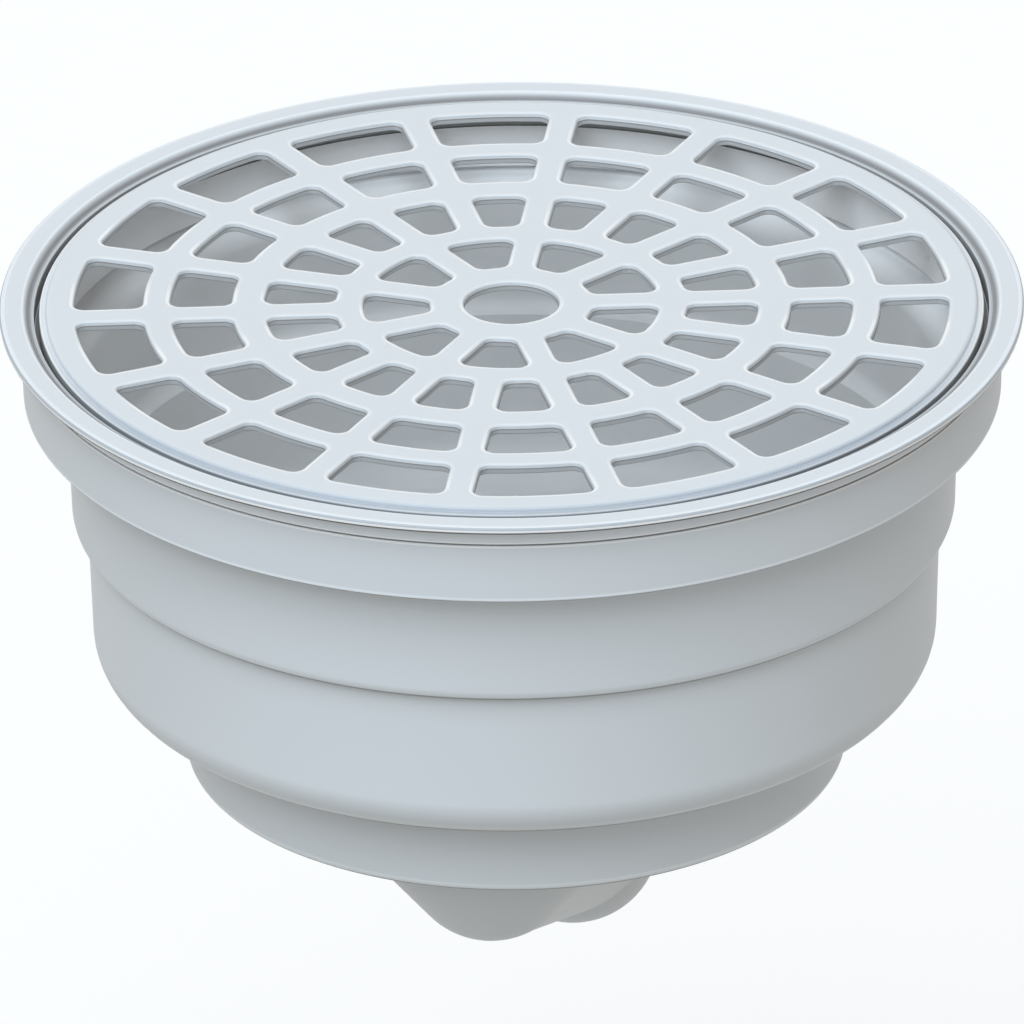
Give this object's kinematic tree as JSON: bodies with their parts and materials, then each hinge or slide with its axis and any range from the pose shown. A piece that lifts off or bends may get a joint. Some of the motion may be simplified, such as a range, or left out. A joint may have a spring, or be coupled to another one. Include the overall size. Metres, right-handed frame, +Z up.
{
  "type": "gully trap",
  "caption": "Round floor gully trap: flush slotted grating in a flanged frame, stepped bowl, and a water-seal bend rising to a side outlet socket.",
  "frame": {"origin": "centre of the flange's top face, level with the finished floor", "axes": "+Z up out of the floor along the bowl's axis, +Y along the outlet pipe, away from the bowl"},
  "size_m": [0.2, 0.255, 0.1541],
  "materials": {
    "grating_upvc": "satin white uPVC",
    "frame_upvc": "satin white uPVC",
    "bowl_upvc": "satin white uPVC",
    "bend_upvc": "satin white uPVC"
  },
  "bodies": {
    "root": {"grating": "grating_upvc", "top_frame": "frame_upvc", "bowl": "bowl_upvc", "trap_bend": "bend_upvc", "foot_bend": "bend_upvc", "riser": "bend_upvc", "outlet_bend": "bend_upvc", "pipe_socket": "bend_upvc"}
  },
  "joints": []
}
